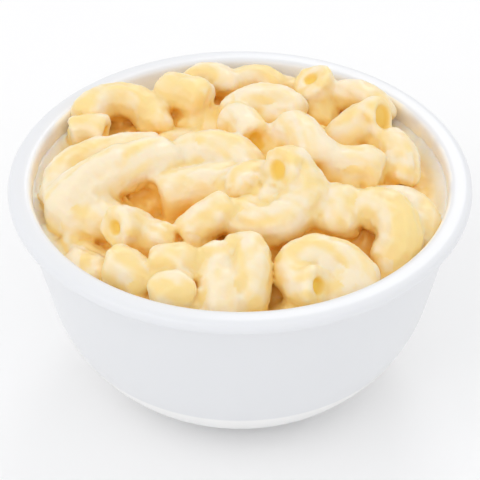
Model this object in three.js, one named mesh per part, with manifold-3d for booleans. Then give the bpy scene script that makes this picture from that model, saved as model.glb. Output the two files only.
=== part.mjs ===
// A bowl of mac and cheese: a plain white bowl with a flared lip, heaped above its rim with
// elbow macaroni in cheese sauce.
//
// Millimetres, +Z up. The bowl stands on z = 0 with its axis on the Z axis, and the person who
// eats from it sits on the -Y side. Two solids: `bowl`, and `macaroni`, which is the whole
// heap in one piece: a core of pasta and sauce that fills the bowl, with the elbows that show
// fused on. Everything is given where it really sits, so nothing is moved afterwards.

import * as THREE from "three";
import { mergeVertices } from "three/addons/utils/BufferGeometryUtils.js";
import Module from "manifold-3d";

const wasm = await Module();
wasm.setup();

// ---- driving dimensions -----------------------------------------------------------------

const RIM_RADIUS = 60;
const BOWL_HEIGHT = 63.2;
const FOOT_RADIUS = 25.5;
const SHOULDER = { radius: 51.5, height: 31 };
const DRAFT = THREE.MathUtils.degToRad(11);
const WALL = 3;
const FLOOR_THICKNESS = 3.4;
const LIP_START_HEIGHT = 57;
const LIP_OVERHANG_HEIGHT = 59.7;
const LIP_TOP_WIDTH = 2.2;
const BOWL_SIDES = 48;
const CURVE_STEPS = 4;

const FIT_GAP = 0.3;
const HEAP_EDGE_LEVEL = 55.5;
const HEAP_SHOULDER = { radius: 44.5, height: 56.7 };
const HEAP_MIDDLE_LEVEL = 61.5;
const HEADROOM = 30;

const ELBOW_SIDES = 8;
const HOLE_RADIUS = 2;
const HOLE_DEPTH = 4;
const END_ROUNDING = 1.3;
const STATION_SPACING = 4;
const FRAME_STEPS = 60;
const SMALLEST_DETAIL = 0.12;

// ---- the elbows that show ---------------------------------------------------------------
// `via` are points that the middle line passes through, `tube` its outside radius with the
// sauce on, or two radii where it widens, `open` the end whose hole shows, `hole` the radius of
// an unusual hole, and `round` the rounding of ends that the sauce has covered. Three points
// are an arc and more are a smooth curve.

const BACK_ROW = [
  { via: [[-42, 25, 62], [-32.5, 33, 63.5], [-23, 23, 59]], tube: 5 },
  {
    via: [[-45, 18.5, 62.5], [-40.5, 18.8, 63.5], [-36, 17.6, 63.6]],
    tube: 4.3,
    open: "last",
    hole: 1.4,
  },
  { via: [[-45.5, 20, 58.5], [-41.5, 21, 58.8], [-37.5, 20, 57.5]], tube: 4.2 },
  { via: [[-22.5, 36.5, 63.5], [-16, 34, 65], [-9, 29.5, 65.5]], tube: 5.4, round: 3.2 },
  { via: [[-14.5, 42, 59], [-8, 46.5, 62.2], [-4.2, 40.5, 60]], tube: 4.4 },
  { via: [[-1.8, 43.3, 58.2], [4.2, 47.3, 61.2], [10.8, 43.3, 58.7]], tube: 4.2 },
  { via: [[21.5, 28, 57], [22, 36, 61], [19.3, 37.5, 67.7]], tube: [4.8, 5.9], open: "last" },
  { via: [[27, 37, 61.5], [34.8, 34, 63.5], [39.3, 27.5, 60]], tube: 4.4 },
  {
    via: [[25, 16.5, 59.5], [30.5, 19.5, 63], [34.8, 21.3, 65.3], [38.2, 19.6, 66.8]],
    tube: [5.2, 5.7],
    open: "last",
    hole: 3.8,
  },
  { via: [[-16, 32, 56.5], [-10, 28, 58.5], [-4.5, 32, 58]], tube: 4.4 },
  { via: [[-36, 32.5, 55.5], [-28.5, 38, 56.5], [-20, 42, 55.5]], tube: 4.4 },
  { via: [[12, 46, 56.5], [19, 44.5, 58], [27, 40, 57]], tube: 4.4 },
  { via: [[33, 27.5, 54.5], [37, 24.5, 56.5], [41, 18, 56]], tube: 4.5 },
];

const RIGHT_SIDE = [
  { via: [[37, 17, 60], [42.5, 7, 62], [42, 2, 58]], tube: 4.7 },
  { via: [[21, 3, 62], [28.5, 2.3, 63], [37.3, 1.5, 62.5]], tube: 5.9, round: 4 },
  { via: [[30, -15.5, 60.5], [34.6, -16.3, 63], [34.5, -27.5, 54.5]], tube: 5.9 },
  { via: [[35, -9, 58.3], [42.6, -9.3, 59.5], [43.2, -21, 56]], tube: 4.7 },
  { via: [[22.8, -20.8, 58.6], [25.2, -15.5, 61.5], [27.8, -10.5, 62]], tube: 6.4, round: 3.5 },
];

const MIDDLE = [
  { via: [[-3, 24, 62], [6, 29.8, 65.7], [16, 26, 63]], tube: 4.6 },
  { via: [[-3, 21.5, 64.5], [1, 17, 66.3], [3.8, 11.3, 66]], tube: 4.9, open: "last", hole: 1.6 },
  { via: [[12, 15.5, 66], [17, 8.5, 67], [20, 0.5, 64]], tube: 5.8 },
  {
    via: [
      [9.3, -10.7, 71.5],
      [13.4, -7.8, 69.3],
      [16.2, -14, 66],
      [9.5, -21, 62.5],
      [2, -19.8, 61.8],
      [-0.3, -15, 61.8],
    ],
    tube: [5.8, 5.4],
    open: "first",
    hole: 2.7,
  },
  { via: [[8, -5.5, 63.5], [2.2, -6.5, 65.3], [1.8, -12, 65.3]], tube: 4.8, round: 2.2 },
  { via: [[-15.5, 5.5, 63], [-5.5, 6.5, 65], [3, 0.5, 62.5]], tube: 5.4 },
  { via: [[-20.5, -7.5, 60.5], [-12.5, -5.5, 62], [-1.5, -3.5, 62]], tube: 5.4, round: 2.5 },
];

const LEFT_SIDE = [
  {
    via: [[-17.3, 4.3, 64.3], [-30.5, -2.5, 66], [-40.5, -9, 63.5], [-47, -12.5, 58.5]],
    tube: 6.3,
    round: 3.5,
  },
  { via: [[-21, 10.5, 62.5], [-34.5, 9, 62.5], [-45, 3, 61], [-47, -8, 58]], tube: 5 },
  {
    via: [[-31, -25.3, 64.6], [-28.2, -22.5, 63], [-26, -21.5, 60.5], [-25, -22, 57]],
    tube: 5.2,
    open: "first",
    hole: 1.8,
  },
  { via: [[-25, -22, 58], [-21, -24, 60], [-16.5, -25, 59.5]], tube: 4.6, round: 3.6 },
  { via: [[-14, -22.5, 59], [-9, -20, 62], [-2.2, -17, 65]], tube: 4.9, round: 2 },
  { via: [[-44, -19.5, 52], [-38.5, -24, 53], [-32, -27, 52]], tube: 4.6 },
  { via: [[-47, -12, 57], [-39, -14.5, 59.5], [-30, -16, 58]], tube: 5.4, round: 3 },
];

const FRONT_ROW = [
  { via: [[-42, -27, 54.5], [-38, -31, 55], [-33.5, -34.5, 54.5]], tube: 4.5 },
  { via: [[-32, -33.5, 60.5], [-27.5, -35.5, 59.5], [-22.5, -38, 55.7]], tube: 5.2, round: 2 },
  { via: [[-20.3, -34, 60.5], [-15.8, -35, 62], [-11.8, -34, 60.8]], tube: 4.5, round: 2.2 },
  { via: [[-9.5, -32, 60], [-6.5, -33, 61.7], [-3.5, -32.5, 62]], tube: 3.8, round: 3 },
  { via: [[-6, -33.5, 57], [-5, -39, 58.3], [-4.6, -46.5, 54.5]], tube: 5.8 },
  { via: [[-2.5, -31, 60.8], [2.3, -33, 63.2], [2.8, -38, 62.4], [2, -46, 56]], tube: 4.8 },
  { via: [[-20.5, -42, 58], [-16.5, -43, 59.3], [-12, -43, 58.5]], tube: 5, round: 2.6 },
  {
    via: [
      [18.8, -44, 61.8],
      [15, -41.4, 59.6],
      [12.8, -35.5, 60],
      [17.5, -32, 61.5],
      [24.5, -33, 60.5],
      [28.8, -36.5, 58],
      [30, -40, 54],
    ],
    tube: 5,
    open: "first",
    hole: 2.2,
  },
];

const ELBOWS = [...BACK_ROW, ...RIGHT_SIDE, ...MIDDLE, ...LEFT_SIDE, ...FRONT_ROW];

// ---- solids -----------------------------------------------------------------------------

/** The corners of every triangle that still has three different ones after welding. */
function wholeTriangles(index) {
  const corners = [];
  for (let i = 0; i < index.count; i += 3) {
    const [a, b, c] = [index.getX(i), index.getX(i + 1), index.getX(i + 2)];
    if (a !== b && b !== c && c !== a) {
      corners.push(a, b, c);
    }
  }
  return corners;
}

/** A watertight three.js geometry as a solid that can be joined and cut. */
function solidFrom(geometry) {
  const bare = geometry.clone();
  bare.deleteAttribute("normal");
  bare.deleteAttribute("uv");
  const welded = mergeVertices(bare, 1e-4);
  return new wasm.Manifold(
    new wasm.Mesh({
      numProp: 3,
      vertProperties: new Float32Array(welded.attributes.position.array),
      triVerts: new Uint32Array(wholeTriangles(welded.index)),
    }),
  );
}

/** A solid back as a three.js geometry. */
function geometryFrom(solid) {
  const mesh = solid.getMesh();
  const geometry = new THREE.BufferGeometry();
  geometry.setAttribute("position", new THREE.BufferAttribute(mesh.vertProperties, 3));
  geometry.setIndex(new THREE.BufferAttribute(mesh.triVerts, 1));
  geometry.computeVertexNormals();
  return geometry;
}

/** A closed outline turned about the Z axis; it starts and ends on the axis. */
function turned(outline, sides) {
  return new THREE.LatheGeometry(outline, sides).rotateX(Math.PI / 2);
}

// ---- the bowl ---------------------------------------------------------------------------

/**
 * The round lower part of the bowl: the arc that leaves the foot and runs smoothly into the
 * straight, drafted wall at the shoulder.
 */
function bellyArc() {
  const wall = new THREE.Vector2(Math.sin(DRAFT), Math.cos(DRAFT));
  const inward = new THREE.Vector2(-wall.y, wall.x);
  const span = new THREE.Vector2(SHOULDER.radius - FOOT_RADIUS, SHOULDER.height);
  const radius = -span.lengthSq() / (2 * span.dot(inward));
  return {
    radius,
    x: SHOULDER.radius + inward.x * radius,
    y: SHOULDER.height + inward.y * radius,
  };
}

/** Radius of the wall's outside at a height above the shoulder. */
function wallRadius(height) {
  return SHOULDER.radius + (height - SHOULDER.height) * Math.tan(DRAFT);
}

/** The inside of the bowl up to the lip, `inset` mm in from its surface, from the axis out. */
function insideOutline(inset) {
  const belly = bellyArc();
  const radius = belly.radius - WALL - inset;
  const floor = FLOOR_THICKNESS + inset;
  const floorAngle = Math.asin((belly.y - floor) / radius);
  const outline = new THREE.Path();
  outline.moveTo(0, floor);
  outline.lineTo(belly.x + radius * Math.cos(floorAngle), floor);
  outline.absarc(belly.x, belly.y, radius, -floorAngle, -DRAFT, false);
  outline.lineTo(wallRadius(LIP_START_HEIGHT) - WALL - inset, LIP_START_HEIGHT);
  return outline;
}

function bowlGeometry() {
  const belly = bellyArc();
  const footAngle = Math.asin(belly.y / belly.radius);
  const outside = wallRadius(LIP_START_HEIGHT);
  const lipCrown = RIM_RADIUS - LIP_TOP_WIDTH;
  const lipMiddle = (LIP_OVERHANG_HEIGHT + BOWL_HEIGHT) / 2;
  const outline = new THREE.Path();
  outline.moveTo(0, 0);
  outline.lineTo(FOOT_RADIUS, 0);
  outline.absarc(belly.x, belly.y, belly.radius, -footAngle, -DRAFT, false);
  outline.lineTo(outside, LIP_START_HEIGHT);
  outline.quadraticCurveTo(outside + 0.6, LIP_OVERHANG_HEIGHT - 0.4, lipCrown + 0.9, LIP_OVERHANG_HEIGHT);
  outline.quadraticCurveTo(RIM_RADIUS, LIP_OVERHANG_HEIGHT + 0.2, RIM_RADIUS, lipMiddle);
  outline.quadraticCurveTo(RIM_RADIUS, BOWL_HEIGHT, lipCrown, BOWL_HEIGHT);
  const inside = outside - WALL;
  outline.bezierCurveTo(inside - 0.5, BOWL_HEIGHT, inside + 0.6, 62.8, inside, LIP_START_HEIGHT);
  const inner = insideOutline(0).getPoints(CURVE_STEPS).reverse();
  return turned([...outline.getPoints(CURVE_STEPS), ...inner.slice(1)], BOWL_SIDES);
}

// ---- the macaroni -----------------------------------------------------------------------

/** The arc through three points, as evenly spaced points. */
function arcThrough(a, b, c) {
  const ab = b.clone().sub(a);
  const ac = c.clone().sub(a);
  const normal = ab.clone().cross(ac);
  const toCentre = normal
    .clone()
    .cross(ab)
    .multiplyScalar(ac.lengthSq())
    .add(ac.clone().cross(normal).multiplyScalar(ab.lengthSq()))
    .divideScalar(2 * normal.lengthSq());
  const centre = a.clone().add(toCentre);
  const x = a.clone().sub(centre);
  const y = normal.clone().normalize().cross(x);
  const end = c.clone().sub(centre);
  const turn = THREE.MathUtils.euclideanModulo(Math.atan2(end.dot(y), end.dot(x)), 2 * Math.PI);
  const steps = 8;
  return Array.from({ length: steps + 1 }, (_, i) => {
    const angle = (turn * i) / steps;
    return centre.clone().addScaledVector(x, Math.cos(angle)).addScaledVector(y, Math.sin(angle));
  });
}

/** The middle line of an elbow. */
function middleLine(via) {
  const points = via.map((p) => new THREE.Vector3(...p));
  const route = points.length === 3 ? arcThrough(...points) : points;
  return new THREE.CatmullRomCurve3(route, false, "catmullrom", 0.5);
}

/** Half the outline of a straight elbow: across, along. An open end has its hole sunk in it. */
function rodOutline(length, [first, last], open, hole, round) {
  const radiusAt = (along) => THREE.MathUtils.lerp(first, last, along / length);
  const corner = round * 0.3;
  const stations = Math.max(2, Math.round((length - 2 * round) / STATION_SPACING));
  const outline = [];
  if (open === "first") {
    outline.push([0, HOLE_DEPTH], [hole, HOLE_DEPTH], [hole, 0]);
  } else {
    outline.push([0, 0]);
  }
  outline.push([first - round, 0], [first - corner, corner]);
  for (let i = 0; i <= stations; i++) {
    const along = round + ((length - 2 * round) * i) / stations;
    outline.push([radiusAt(along), along]);
  }
  outline.push([last - corner, length - corner], [last - round, length]);
  if (open === "last") {
    outline.push([hole, length], [hole, length - HOLE_DEPTH], [0, length - HOLE_DEPTH]);
  } else {
    outline.push([0, length]);
  }
  return outline.map(([across, along]) => new THREE.Vector2(across, along));
}

/** Bends a rod that stands on the Y axis along its middle line. */
function bendAlong(rod, line, length) {
  const frames = line.computeFrenetFrames(FRAME_STEPS, false);
  const position = rod.attributes.position;
  const offset = new THREE.Vector3();
  for (let i = 0; i < position.count; i++) {
    const share = THREE.MathUtils.clamp(position.getY(i) / length, 0, 1);
    const frame = Math.round(share * FRAME_STEPS);
    offset.copy(line.getPointAt(share));
    offset.addScaledVector(frames.normals[frame], position.getZ(i));
    offset.addScaledVector(frames.binormals[frame], position.getX(i));
    position.setXYZ(i, offset.x, offset.y, offset.z);
  }
  return rod;
}

/** One elbow of macaroni as a solid. */
function elbowSolid({ via, tube, open, hole = HOLE_RADIUS, round = END_ROUNDING }) {
  const line = middleLine(via);
  const length = line.getLength();
  const radii = Array.isArray(tube) ? tube : [tube, tube];
  const outline = rodOutline(length, radii, open, hole, round);
  const rod = new THREE.LatheGeometry(outline, ELBOW_SIDES);
  return solidFrom(bendAlong(rod, line, length));
}

/** What the heap may fill: the inside of the bowl, and the free space above its lip. */
function roomOutline() {
  const mouth = wallRadius(LIP_START_HEIGHT) - WALL - FIT_GAP;
  const room = insideOutline(FIT_GAP).getPoints(CURVE_STEPS);
  const above = BOWL_HEIGHT + HEADROOM;
  room.push(new THREE.Vector2(mouth, above), new THREE.Vector2(0, above));
  return room;
}

/** The core of the heap: pasta and sauce up to a low dome. */
function coreSolid(room) {
  const mouth = wallRadius(LIP_START_HEIGHT) - WALL;
  const { radius, height } = HEAP_SHOULDER;
  const outline = new THREE.Path();
  outline.moveTo(0, 0);
  outline.lineTo(mouth, 0);
  outline.lineTo(mouth, HEAP_EDGE_LEVEL);
  outline.lineTo(radius, height);
  outline.quadraticCurveTo(radius / 2, HEAP_MIDDLE_LEVEL, 0, HEAP_MIDDLE_LEVEL);
  const block = solidFrom(turned(outline.getPoints(CURVE_STEPS), BOWL_SIDES));
  return block.intersect(room);
}

/** The heap as one piece, without the sealed hollows and crumbs between crossing elbows. */
function heapGeometry() {
  const room = solidFrom(turned(roomOutline(), BOWL_SIDES));
  let heap = coreSolid(room);
  for (const elbow of ELBOWS) {
    heap = heap.add(elbowSolid(elbow));
  }
  const pieces = heap.intersect(room).simplify(SMALLEST_DETAIL).decompose();
  pieces.sort((a, b) => b.volume() - a.volume());
  return geometryFrom(pieces[0]);
}

// ---- the part ---------------------------------------------------------------------------

function piece(name, geometry, colour, roughness) {
  const material = new THREE.MeshStandardMaterial({ color: colour, roughness, metalness: 0 });
  const mesh = new THREE.Mesh(geometry, material);
  mesh.name = name;
  return mesh;
}

const part = new THREE.Group();
part.name = "mac_and_cheese";
part.add(piece("bowl", bowlGeometry(), "#f4f5f8", 0.3));
part.add(piece("macaroni", heapGeometry(), "#f7e0ae", 0.4));

export default part;
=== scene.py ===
# %% [markdown]
# # Mac and cheese in a white bowl
#
# A small white bowl heaped with elbow macaroni in cheese sauce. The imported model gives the
# frame: where the bowl and the heap are, and how large. This lesson gives both their looks:
# a smooth glossy bowl, real hollow pasta, and a creamy sauce that coats and joins it.
#
# Shapes are worked out in millimetres, because food is easier to picture that way, and are
# scaled to Blender's metres when a mesh is made.

from itertools import product
from math import asin, cos, hypot, pi, radians, sin, tan

import bpy
import numpy as np
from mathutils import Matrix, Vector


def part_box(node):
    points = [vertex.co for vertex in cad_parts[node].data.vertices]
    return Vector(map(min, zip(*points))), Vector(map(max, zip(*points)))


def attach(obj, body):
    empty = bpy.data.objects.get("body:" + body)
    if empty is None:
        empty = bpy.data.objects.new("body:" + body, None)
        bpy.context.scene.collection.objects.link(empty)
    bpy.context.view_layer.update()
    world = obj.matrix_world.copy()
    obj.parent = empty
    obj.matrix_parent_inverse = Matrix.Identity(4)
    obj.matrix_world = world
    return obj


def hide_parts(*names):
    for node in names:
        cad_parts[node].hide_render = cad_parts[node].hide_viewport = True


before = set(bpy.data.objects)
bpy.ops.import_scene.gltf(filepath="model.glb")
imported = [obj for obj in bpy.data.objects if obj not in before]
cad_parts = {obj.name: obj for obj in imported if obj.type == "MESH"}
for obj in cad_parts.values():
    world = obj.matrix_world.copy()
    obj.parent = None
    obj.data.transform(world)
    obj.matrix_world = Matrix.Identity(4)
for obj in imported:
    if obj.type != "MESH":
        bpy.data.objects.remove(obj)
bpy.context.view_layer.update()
MM = 0.001
scene = bpy.context.scene
print("pieces in the frame:", sorted(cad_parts))

# %% [markdown]
# ## Meshes from arrays
#
# Every shape here ends as a list of points and a list of faces. One helper turns these into a
# Blender object, hangs it from the root and hides the piece of the frame that it replaces, so
# that no step forgets it.

# %% Points and faces to an object
def make_piece(name, points_mm, faces, node, material):
    mesh = bpy.data.meshes.new(name)
    mesh.from_pydata((np.asarray(points_mm) * MM).tolist(), [], np.asarray(faces).tolist())
    mesh.shade_smooth()
    mesh.materials.append(material)
    piece = bpy.data.objects.new(name, mesh)
    scene.collection.objects.link(piece)
    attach(piece, "root")
    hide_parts(node)
    print(name, "has", len(mesh.vertices), "points and", len(mesh.polygons), "faces")
    return piece


def grid_faces(rows, columns, wrap_rows=False, wrap_columns=False, first=0):
    """Four-sided faces between the rows of a grid of points."""
    row = np.arange(rows if wrap_rows else rows - 1)[:, None]
    column = np.arange(columns if wrap_columns else columns - 1)[None, :]
    next_row = (row + 1) % rows
    next_column = (column + 1) % columns
    corners = [
        row * columns + column,
        row * columns + next_column,
        next_row * columns + next_column,
        next_row * columns + column,
    ]
    return first + np.stack(corners, axis=-1).reshape(-1, 4)


# %% [markdown]
# ## Materials as node trees
#
# Each finish is a Principled shader with a few nodes in front of it. Two small helpers keep
# the wiring readable: one adds a node and fills in its sockets, the other makes the material
# and returns its shader. The same trees could be drawn in the Shader Editor. Written as code,
# they can be read from top to bottom and used again.

# %% Node helpers
def add_node(material, kind, **sockets):
    node = material.node_tree.nodes.new(kind)
    for socket, value in sockets.items():
        node.inputs[socket.replace("_", " ")].default_value = value
    return node


def new_material(name, **sockets):
    material = bpy.data.materials.new(name)
    material.use_nodes = True
    shader = material.node_tree.nodes["Principled BSDF"]
    for socket, value in sockets.items():
        shader.inputs[socket.replace("_", " ")].default_value = value
    return material, shader


def mix_colours(material, share, first, second, label=""):
    """A node that goes from the first colour to the second as share goes from 0 to 1."""
    mix = material.node_tree.nodes.new("ShaderNodeMix")
    mix.data_type = "RGBA"
    mix.label = label
    link = material.node_tree.links.new
    link(share, mix.inputs[0])
    for value, socket in ((first, mix.inputs[6]), (second, mix.inputs[7])):
        if isinstance(value, tuple):
            socket.default_value = (*value, 1)
        else:
            link(value, socket)
    return mix.outputs[2]


# %% Values that drive a finish
def spread(material, value, low, high):
    """A node that stretches a value so that low gives 0 and high gives 1, soft at both ends."""
    node = material.node_tree.nodes.new("ShaderNodeMapRange")
    node.interpolation_type = "SMOOTHSTEP"
    node.inputs["From Min"].default_value = low
    node.inputs["From Max"].default_value = high
    material.node_tree.links.new(value, node.inputs["Value"])
    return node.outputs["Result"]


def attribute(material, name):
    """A number that is stored on the mesh's points."""
    node = material.node_tree.nodes.new("ShaderNodeAttribute")
    node.attribute_name = name
    return node.outputs["Fac"]


def noise(material, size_mm, detail=3.0):
    """Blotches about size_mm across, fixed to the object."""
    place = material.node_tree.nodes.new("ShaderNodeTexCoord")
    node = add_node(material, "ShaderNodeTexNoise", Scale=1 / (size_mm * MM), Detail=detail)
    material.node_tree.links.new(place.outputs["Object"], node.inputs["Vector"])
    return node.outputs["Fac"]


def bumps(material, shader, height, depth_mm, under=None):
    """Raises the surface by up to depth_mm where height is 1."""
    bump = add_node(material, "ShaderNodeBump", Distance=depth_mm * MM, Strength=1.0)
    link = material.node_tree.links.new
    link(height, bump.inputs["Height"])
    if under:
        link(under.outputs["Normal"], bump.inputs["Normal"])
    link(bump.outputs["Normal"], shader.inputs["Normal"])
    return bump


# %% [markdown]
# ## The bowl's outline
#
# The bowl is a turned shape, so one half-outline says everything: a flat foot, a round belly,
# a straight wall that leans out, a lip that flares and rolls over, and the same belly again
# on the inside. The belly is the one arc that passes through the foot and runs smoothly into
# the wall. A Screw modifier on a curve would turn the same outline. Points worked out in code
# are chosen instead, because each size stays a named value.

# %% Driving sizes of the bowl
RIM_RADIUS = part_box("bowl")[1][0] / MM
BOWL_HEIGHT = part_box("bowl")[1][2] / MM
FOOT_RADIUS = 25.5
SHOULDER_RADIUS = 51.5
SHOULDER_HEIGHT = 31.0
DRAFT = radians(11)
WALL = 3.0
FLOOR_THICKNESS = 3.4
LIP_START_HEIGHT = 57.0
LIP_OVERHANG_HEIGHT = 59.7
LIP_INNER_BEND_HEIGHT = 62.8
LIP_TOP_WIDTH = 2.2
LIP_FLARE = 0.6
FOOT_EDGE = 0.8
print(f"the bowl is {2 * RIM_RADIUS:.0f} mm across and {BOWL_HEIGHT:.1f} mm high")


# %% The belly's arc and the wall's line
def belly():
    """Centre and radius of the arc between the foot and the shoulder."""
    inward = (-cos(DRAFT), sin(DRAFT))
    across = SHOULDER_RADIUS - FOOT_RADIUS
    ahead = across * inward[0] + SHOULDER_HEIGHT * inward[1]
    radius = -(across**2 + SHOULDER_HEIGHT**2) / (2 * ahead)
    return SHOULDER_RADIUS + inward[0] * radius, SHOULDER_HEIGHT + inward[1] * radius, radius


def wall_radius(height):
    return SHOULDER_RADIUS + (height - SHOULDER_HEIGHT) * tan(DRAFT)


def along_wall(radius_at_lip, heights):
    """Points of the straight wall that has this radius where the lip starts."""
    return [(radius_at_lip - (LIP_START_HEIGHT - h) * tan(DRAFT), h) for h in heights]


def arc(centre, radius, start, end, steps):
    angle = np.linspace(start, end, steps)
    across = centre[0] + radius * np.cos(angle)
    up = centre[1] + radius * np.sin(angle)
    return np.stack([across, up], axis=1)


def bezier(points, steps=12):
    """A Bezier curve of any degree, by repeated halving of the way between its points."""
    share = np.linspace(0, 1, steps)[:, None]
    rows = [np.broadcast_to(np.array(p, float), (steps, 2)) for p in points]
    while len(rows) > 1:
        rows = [a * (1 - share) + b * share for a, b in zip(rows, rows[1:])]
    return rows[0]


print("belly arc: centre and radius", [round(v, 1) for v in belly()])


# %% The whole half-outline
def bowl_outline():
    x, y, radius = belly()
    outside = wall_radius(LIP_START_HEIGHT)
    inside = outside - WALL
    crown = RIM_RADIUS - LIP_TOP_WIDTH
    middle = (LIP_OVERHANG_HEIGHT + BOWL_HEIGHT) / 2
    foot_angle = asin(y / radius)
    floor_angle = asin((y - FLOOR_THICKNESS) / (radius - WALL))
    leaves_foot = arc((x, y), radius, -foot_angle, -DRAFT, 40)
    foot = bezier([(FOOT_RADIUS - FOOT_EDGE, 0), (FOOT_RADIUS, 0), tuple(leaves_foot[1])], 6)
    outer_wall = along_wall(outside, np.linspace(SHOULDER_HEIGHT, LIP_START_HEIGHT - 1, 8))
    under_lip = [(outside, LIP_START_HEIGHT), (outside + LIP_FLARE, LIP_OVERHANG_HEIGHT - 0.4)]
    overhang = (crown + 0.9, LIP_OVERHANG_HEIGHT)
    edge = (RIM_RADIUS, middle)
    top = (crown, BOWL_HEIGHT)
    into_bowl = [(inside - 0.5, BOWL_HEIGHT), (inside + LIP_FLARE, LIP_INNER_BEND_HEIGHT)]
    inner_wall = along_wall(inside, np.arange(LIP_START_HEIGHT - 1, SHOULDER_HEIGHT, -1))
    stretches = [
        [(0, 0), (FOOT_RADIUS * 0.6, 0)],
        foot,
        leaves_foot[2:-1],
        outer_wall,
        bezier([*under_lip, overhang]),
        bezier([overhang, (RIM_RADIUS, LIP_OVERHANG_HEIGHT + 0.2), edge])[1:],
        bezier([edge, (RIM_RADIUS, BOWL_HEIGHT), top])[1:],
        bezier([top, *into_bowl, (inside, LIP_START_HEIGHT)])[1:],
        inner_wall,
        arc((x, y), radius - WALL, -DRAFT, -floor_angle, 24),
        [(0, FLOOR_THICKNESS)],
    ]
    return np.vstack(stretches)


outline = bowl_outline()
print("the bowl's outline has", len(outline), "points")


# %% Turning it
BOWL_SIDES = 160


def turn(profile, sides):
    """Points of a profile (across, up) turned about the Z axis, one row for each of its points."""
    angle = np.arange(sides) * 2 * pi / sides
    across = profile[:, 0, None]
    up = np.repeat(profile[:, 1, None], sides, axis=1)
    return np.stack([across * np.cos(angle), across * np.sin(angle), up], axis=-1)


bowl_points = turn(outline, BOWL_SIDES).reshape(-1, 3)
bowl_faces = grid_faces(len(outline), BOWL_SIDES, wrap_columns=True)
print("the bowl has", len(bowl_faces), "faces")

# %% [markdown]
# ## The bowl's finish
#
# The bowl is plain white melamine: smooth, a little glossy, and very slightly translucent, so
# its shadows stay soft and bluish. Its inner face is painted whiter, as painted light for the
# light that the walls bounce to each other, and at the sides it has a haze of painted shade and
# then a film of sauce that is partly painted bounce light. One flat colour would look like
# plaster, so a faint large mottle goes into the colour and the roughness. Where the haze and
# the film lie is stored on the mesh in a later step, once the sauce has its shape.

# %% White melamine
SHELL_DARK = (0.78, 0.793, 0.823)
SHELL_LIGHT = (0.80, 0.812, 0.838)
# painted light: the inner face is painted whiter, for the light the white walls bounce
INNER_PAINTED_LIGHT = (0.93, 0.93, 0.93)
# painted shade: a greyish haze on the wall next to the food
PAINTED_SHADE_HAZE = (0.90, 0.895, 0.88)
# sauce film on the wall, partly painted bounce light from the sauce
SAUCE_FILM_AND_BOUNCE_LIGHT = (1.0, 0.94, 0.79)
melamine, shader = new_material(
    "white_melamine", Roughness=0.32, Subsurface_Weight=0.2, Coat_Weight=0.25, Coat_Roughness=0.12
)
shader.inputs["Subsurface Radius"].default_value = (1.0, 1.0, 1.1)
shader.inputs["Subsurface Scale"].default_value = 5 * MM
film_and_painted_light = attribute(melamine, "smear_and_painted_light")
colour = mix_colours(melamine, noise(melamine, 30), SHELL_DARK, SHELL_LIGHT, "mottle")
# inner face: painted light, whiter inside where the walls light each other
colour = mix_colours(melamine, attribute(melamine, "inside"), colour, INNER_PAINTED_LIGHT, "inner face")
# haze: painted shade on the wall next to the food, where it lies in shadow
colour = mix_colours(melamine, spread(melamine, film_and_painted_light, 0, 0.25), colour, PAINTED_SHADE_HAZE, "haze")
# film: a sauce film on the wall, partly painted bounce light from the sauce
colour = mix_colours(melamine, spread(melamine, film_and_painted_light, 0.2, 1), colour, SAUCE_FILM_AND_BOUNCE_LIGHT, "film")
melamine.node_tree.links.new(colour, shader.inputs["Base Color"])

# %% Its gloss
gloss = melamine.node_tree.nodes.new("ShaderNodeMapRange")
gloss.inputs["To Min"].default_value = 0.3
gloss.inputs["To Max"].default_value = 0.38
melamine.node_tree.links.new(noise(melamine, 12), gloss.inputs["Value"])
melamine.node_tree.links.new(gloss.outputs["Result"], shader.inputs["Roughness"])
bumps(melamine, shader, noise(melamine, 3.0, 2), 0.015)
bowl = make_piece("bowl_white", bowl_points, bowl_faces, "bowl", melamine)

# %% [markdown]
# ## Where the elbows lie
#
# The elbows that show are listed one by one, as a cook's spoon left them. Each one has the points
# that its middle line passes through, its outside radius with the sauce on, the end whose hole
# shows, how round the sauce has left its ends, and how thickly it is coated: 0 is a usual
# coat, more is bare and less is thick. A rigid body simulation could drop them into the bowl,
# but it never leaves the helping that is wanted, so these are listed one by one. The almost
# covered ones bulge under the sauce where their neighbours would otherwise meet in a pit.

# %% One elbow
OPEN_ROUNDING = 1.5
COVERED_ROUNDING = 2.6


class Elbow:
    def __init__(self, via, tube, open_end="", round_end=0, bare=0.0, hole=2.0):
        self.via = np.array(via, float)
        self.tube = tube if isinstance(tube, tuple) else (tube, tube)
        self.open_end = open_end
        self.round_end = round_end or (OPEN_ROUNDING if open_end else COVERED_ROUNDING)
        self.bare = bare
        self.hole = hole


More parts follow.
